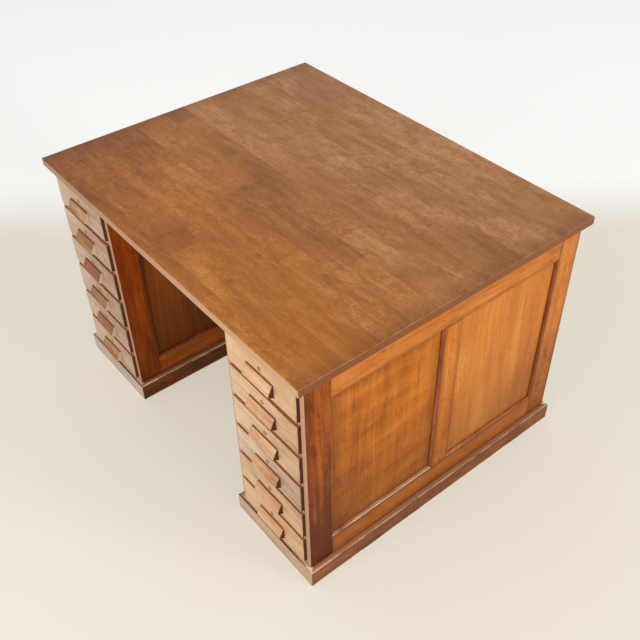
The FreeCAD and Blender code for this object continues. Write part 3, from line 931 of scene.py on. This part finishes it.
def add_beads(boards, sills, plane, outward, deep, upright, sill_tones):
    """Four strips with mitred corners, rounded over towards the panel. The lowest one is the sill."""
    def point(y, z, rise):
        return Vector((plane + outward * rise, y, z))

    for index, rings in enumerate(mitred(deep, upright, bead_outline(), point)):
        strips, (light, pink) = (sills, sill_tones) if index == 0 else (boards, (None, None))
        strips.loft(rings, (Y, Z)[index % 2], light=light, pink=pink, ends=False)


def build_plinth(side):
    """Four mitred boards whose upper outer edge is rounded over."""
    low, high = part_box(f"{side}_plinth")
    height = high.z - low.z
    rounded = [(PLINTH_ROUND * (1 - math.cos(angle)), height - PLINTH_ROUND * (1 - math.sin(angle)))
               for angle in quarter(ROUND_STEPS)]
    outline = [(PLINTH_BOARD, 0.0), (FINE_EASE, 0.0), (0.0, FINE_EASE), *rounded, (PLINTH_BOARD, height)]
    faces, sides = Boards(), Boards()

    def point(x, y, rise):
        return Vector((x, y, low.z + rise))

    for index, rings in enumerate(mitred((low.x, high.x), (low.y, high.y), outline, point)):
        if index % 2 == 0:
            light, pink = PLINTH_FRONT_TONES[side] if index == 0 else PLINTH_BACK_TONES
            faces.loft(rings, X, light=light, pink=pink, ends=False)
        else:
            outer = (index == 1) == (side == "right")
            sides.loft(rings, Y, light=PLINTH_OUTER_LIGHT if outer else PLINTH_KNEE_LIGHT, ends=False)
    sides.piece(f"{side}_plinth_sides", PLINTH_WOOD, "desk", "plinth_wood", f"{side}_plinth")
    faces.piece(f"{side}_plinth_faces", PLINTH_FACE_WOOD, "desk", "plinth_wood")


def divider_levels(low, high):
    """The lower and upper height of every divider in a pedestal."""
    stack = high - low - LOWER_RAIL - UPPER_RAIL - (DRAWER_COUNT - 1) * DIVIDER
    pitch = stack / DRAWER_COUNT + DIVIDER
    heights = [low + LOWER_RAIL + number * pitch for number in range(1, DRAWER_COUNT)]
    dividers = [(height - DIVIDER, height) for height in heights]
    return [(low, low + LOWER_RAIL), *dividers, (high - UPPER_RAIL, high)]


def build_dividers(side):
    """The rails that show between the drawers, and the runners and partition behind them."""
    node = f"{side}_drawer_dividers"
    low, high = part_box(node)
    rails, runners = Boards(), Boards()
    for bottom, top in divider_levels(low.z, high.z):
        for near, far in ((low.y, low.y + RAIL_DEPTH), (high.y - RAIL_DEPTH, high.y)):
            rails.box((low.x, near, bottom), (high.x, far, top), X)
        for near, far in ((low.y + RAIL_DEPTH, -PARTITION / 2), (PARTITION / 2, high.y - RAIL_DEPTH)):
            for left, right in ((low.x, low.x + RUNNER), (high.x - RUNNER, high.x)):
                runners.box((left, near, bottom), (right, far, top), Y)
    runners.box((low.x, -PARTITION / 2, low.z), (high.x, PARTITION / 2, high.z), Z)
    rails.piece(f"{side}_divider_rails", FRAME_WOOD, "desk", "cabinet_wood", node)
    runners.piece(f"{side}_divider_runners", BARE_WOOD, "desk", "carcass_wood")


def build_drawer(end, side, number):
    """A stained front on a bare, dovetailed box, with a wedge pull and a keyhole plate."""
    facing = ENDS[end]
    name = f"{end}_{side}_drawer_{number}"
    low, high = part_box(name)
    face, rear = (low.y, high.y) if facing < 0 else (high.y, low.y)
    inside = face - facing * FRONT_THICK
    rim = high.z - BOX_DROP
    bed = low.z + BOX_LIFT

    def add(boards, x, y, z, grain, **finish):
        near, far = sorted(y)
        boards.box((x[0], near, z[0]), (x[1], far, z[1]), grain, **finish)

    front, box = Boards(), Boards()
    light, pink, pull_light = DRAWER_TONES[end, side][number - 1]
    add(front, (low.x, high.x), (face, inside), (low.z + FRONT_PLAY, high.z), X,
        ease=FRONT_EASE, light=light, pink=pink, lean=(FRONT_LEAN, 0.0))
    for outer, inner in ((low.x, low.x + BOX_SIDE), (high.x, high.x - BOX_SIDE)):
        add(box, sorted((outer, inner)), (inside, rear), (low.z, rim), Y)
        add_dovetails(box, outer, inner, (inside, inside + facing * BOX_LAP), (low.z, rim))
    within = (low.x + BOX_SIDE, high.x - BOX_SIDE)
    add(box, within, (inside, rear), (bed, bed + BOX_BOTTOM), X)
    add(box, within, (rear + facing * BOX_BACK, rear), (bed + BOX_BOTTOM, rim), X)
    front.piece(f"{name}_front", FRONT_WOOD, name, "drawer_wood", name)
    box.piece(f"{name}_box", BARE_WOOD, name, "carcass_wood")
    # The front left pulls get end faces painted pale as if lit.
    pull_wood = LIT_END_PULL_WOOD if (end, side) == LIT_END_PULLS else PULL_WOOD
    build_pull(f"{end}_{side}_pull_{number}", name, facing, pull_wood, pull_light)
    middle = Vector(((low.x + high.x) / 2, face, high.z - PLATE_DROP))
    build_keyhole(f"{end}_{side}_keyhole_{number}", name, facing, middle)


def add_dovetails(boards, outer, inner, reach, upright):
    """Tails of a drawer side that spread out into the end of the front."""
    root, tip = reach
    height = upright[1] - upright[0]
    proud = outer + math.copysign(TAIL_PROUD, outer - inner)
    for share in TAIL_MIDDLE_SHARES:
        middle = upright[0] + share * height
        outline = [(root, middle - TAIL_ROOT_SHARE * height), (tip, middle - TAIL_TIP_SHARE * height),
                   (tip, middle + TAIL_TIP_SHARE * height), (root, middle + TAIL_ROOT_SHARE * height)]
        boards.loft([[Vector((x, y, z)) for y, z in outline] for x in (proud, inner)], Y)


def build_pull(node, body, facing, wood, light):
    """A wedge with a finger scoop cut into its sloping underside."""
    low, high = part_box(node)
    length, reach, height = high - low
    seat = high.y if facing < 0 else low.y
    nose = height * PULL_NOSE_SHARE
    lip = nose + height * PULL_LIP_SHARE
    upper = [(reach, nose), (reach, lip), (reach * PULL_LEDGE_SHARE, height), (0.0, height)]
    rings = []
    for station in range(PULL_STATIONS + 1):
        along = station / PULL_STATIONS
        gate = min(1.0, max(0.0, (0.5 - abs(along - 0.5) - SCOOP_END_SHARE) / SCOOP_END_SHARE))
        depth = reach * SCOOP_DEPTH_SHARE * gate * gate * (3 - 2 * gate)
        under = []
        for share in [step / SCOOP_STEPS for step in range(SCOOP_STEPS)]:
            hollow = depth * math.sin(math.pi * min(1.0, share / SCOOP_RUN_SHARE))
            under.append((reach * share, nose * share + hollow))
        rings.append([Vector((low.x + along * length, seat + facing * out, low.z + up))
                      for out, up in under + upper])
    pull = Boards()
    pull.loft(rings, X, PULL_EASE, light, PULL_PINK)
    pull.piece(f"{node}_wedge", wood, body, "pull_wood", node)


def keyhole_reach(angle):
    """How far a keyhole's edge lies from its middle: a round head over a straight slot."""
    across, up = math.cos(angle), math.sin(angle)
    to_head = KEYHOLE_RISE * up
    inside = KEYHOLE_RADIUS ** 2 - KEYHOLE_RISE ** 2 + to_head ** 2
    head = to_head + math.sqrt(inside) if inside > 0 else 0.0
    slot = 0.0
    if up < 0:
        slot = min(KEYHOLE_SLOT / max(abs(across), TINY), KEYHOLE_FOOT / max(-up, TINY))
    return max(head, slot)


def build_keyhole(name, body, facing, middle):
    """A round brass plate, rounded at its rim, with a keyhole through it."""
    angles = [2 * math.pi * step / PLATE_STEPS for step in range(PLATE_STEPS)]
    round_rise = 1 - PLATE_EDGE_SHARE
    edge = [(1.0, 0.0)]
    for turn in quarter(PLATE_ROUND_STEPS):
        inset = PLATE_ROUND_SHARE * (1 - math.cos(turn))
        edge.append((1 - inset, PLATE_EDGE_SHARE + round_rise * math.sin(turn)))

    def ring(reaches, rise_share):
        rise = facing * PLATE_PROUD * rise_share
        return [middle + Vector((-facing * reach * math.cos(angle), rise, reach * math.sin(angle)))
                for angle, reach in zip(angles, reaches)]

    hole_edge = [keyhole_reach(angle) for angle in angles]
    rings = [ring([PLATE_RADIUS * share] * PLATE_STEPS, rise_share) for share, rise_share in edge]
    rings += [ring(hole_edge, rise_share) for rise_share in (PLATE_LIP_SHARE, 0.0)]
    plate = bmesh.new()
    rows = [[plate.verts.new(point) for point in points] for points in rings]
    for first, second in zip(rows, rows[1:] + rows[:1]):
        band(plate, first, second)
    bmesh.ops.recalc_face_normals(plate, faces=plate.faces[:])
    add_piece(f"{name}_plate", plate, BRASS, body, "brass")
    # A dark sheet at the foot of the keyhole, which paints the shade inside the hole.
    floor = Boards()
    floor.loft([ring(hole_edge, rise_share) for rise_share in (0.0, KEYHOLE_FLOOR_SHARE)], X)
    floor.piece(f"{name}_hole", HOLLOW, body, "brass")


def build_stage():
    """A plain pale floor that turns white behind the desk, with soft shadows as the camera sees it."""
    shader = Shader("pale_floor")
    place = shader.place()
    mottle = shader.noise(place, FLOOR_STRETCH, detail=5.0, roughness=0.6)
    colour = shader.mix(mottle, DARK_FLOOR, PALE_FLOOR)
    behind = shader.vector("DOT_PRODUCT", place, BACKDROP_WAY, result="Value")
    backdrop = shader.ranged(behind, *BACKDROP_GATE)
    seen = shader.node("LightPath", {})["Is Camera Ray"]
    even = shader.times(seen, shader.ranged(backdrop, 0.0, 1.0, EVEN_FLOOR_SHARE, 0.0, smooth=False))
    colour = shader.mix(backdrop, colour, BACKDROP_WHITE)
    colour = shader.scaled(colour, shader.math("SUBTRACT", 1.0, even))
    glow = shader.math("ADD", even, shader.times(seen, backdrop, BACKDROP_GLOW))
    shader.finish({"Base Color": colour, "Roughness": FLOOR_ROUGHNESS, "Specular IOR Level": FLOOR_SHINE,
                   "Emission Color": shader.mix(backdrop, EVEN_FLOOR, PURE_WHITE), "Emission Strength": glow})
    corners = [(x * FLOOR_REACH, y * FLOOR_REACH, 0) for x, y in ((-1, -1), (1, -1), (1, 1), (-1, 1))]
    data = bpy.data.meshes.new("floor")
    data.from_pydata(corners, [], [(0, 1, 2, 3)])
    data.materials.append(shader.material)
    floor = bpy.data.objects.new("floor", data)
    bpy.context.scene.collection.objects.link(floor)


def add_light(name, place, aim, size, power, colour):
    """A flat lamp that shines from its place towards what it aims at."""
    lamp = bpy.data.lights.new(name, "AREA")
    lamp.shape = "RECTANGLE"
    lamp.size, lamp.size_y = size
    lamp.energy = power
    lamp.color = colour
    obj = bpy.data.objects.new(name, lamp)
    obj.location = place
    obj.rotation_euler = (Vector(aim) - Vector(place)).to_track_quat("-Z", "Y").to_euler()
    bpy.context.scene.collection.objects.link(obj)


def build_light():
    """A light in front of the desk, a soft fill over its right end, and even light from all round."""
    for name, settings in LAMPS.items():
        add_light(name, *settings)
    world = bpy.data.worlds.new("even_light")
    world.use_nodes = True
    background = world.node_tree.nodes["Background"]
    background.inputs["Color"].default_value = EVEN_LIGHT
    background.inputs["Strength"].default_value = EVEN_LIGHT_STRENGTH
    bpy.context.scene.world = world


def build_camera():
    """The photograph's viewpoint."""
    azimuth, elevation, roll = [math.radians(angle) for angle in CAMERA_ANGLES]
    level = math.cos(elevation)
    back = Vector((math.sin(azimuth) * level, -math.cos(azimuth) * level, math.sin(elevation)))
    right = Vector((math.cos(azimuth), math.sin(azimuth), 0.0))
    turn = Matrix((right, back.cross(right), back)).transposed().to_4x4() @ Matrix.Rotation(roll, 4, "Z")
    camera = bpy.data.cameras.new("camera")
    camera.sensor_width = CAMERA_SENSOR
    camera.lens = CAMERA_LENS
    camera.shift_y = CAMERA_SHIFT_SHARE
    obj = bpy.data.objects.new("camera", camera)
    obj.matrix_world = Matrix.Translation(CAMERA_PLACE) @ turn
    bpy.context.scene.collection.objects.link(obj)
    bpy.context.scene.camera = obj


build_camera()
build_stage()
build_light()
build_top()
for side in PEDESTALS:
    for face in ("outer", "inner"):
        build_frame(side, face)
    build_panels(side)
    build_plinth(side)
    build_dividers(side)
    for end in ENDS:
        for number in range(1, DRAWER_COUNT + 1):
            build_drawer(end, side, number)
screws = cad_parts["desktop_screws"]
screws.data.materials.clear()
screws.data.materials.append(BRASS)

bpy.context.scene.view_settings.view_transform = "Standard"
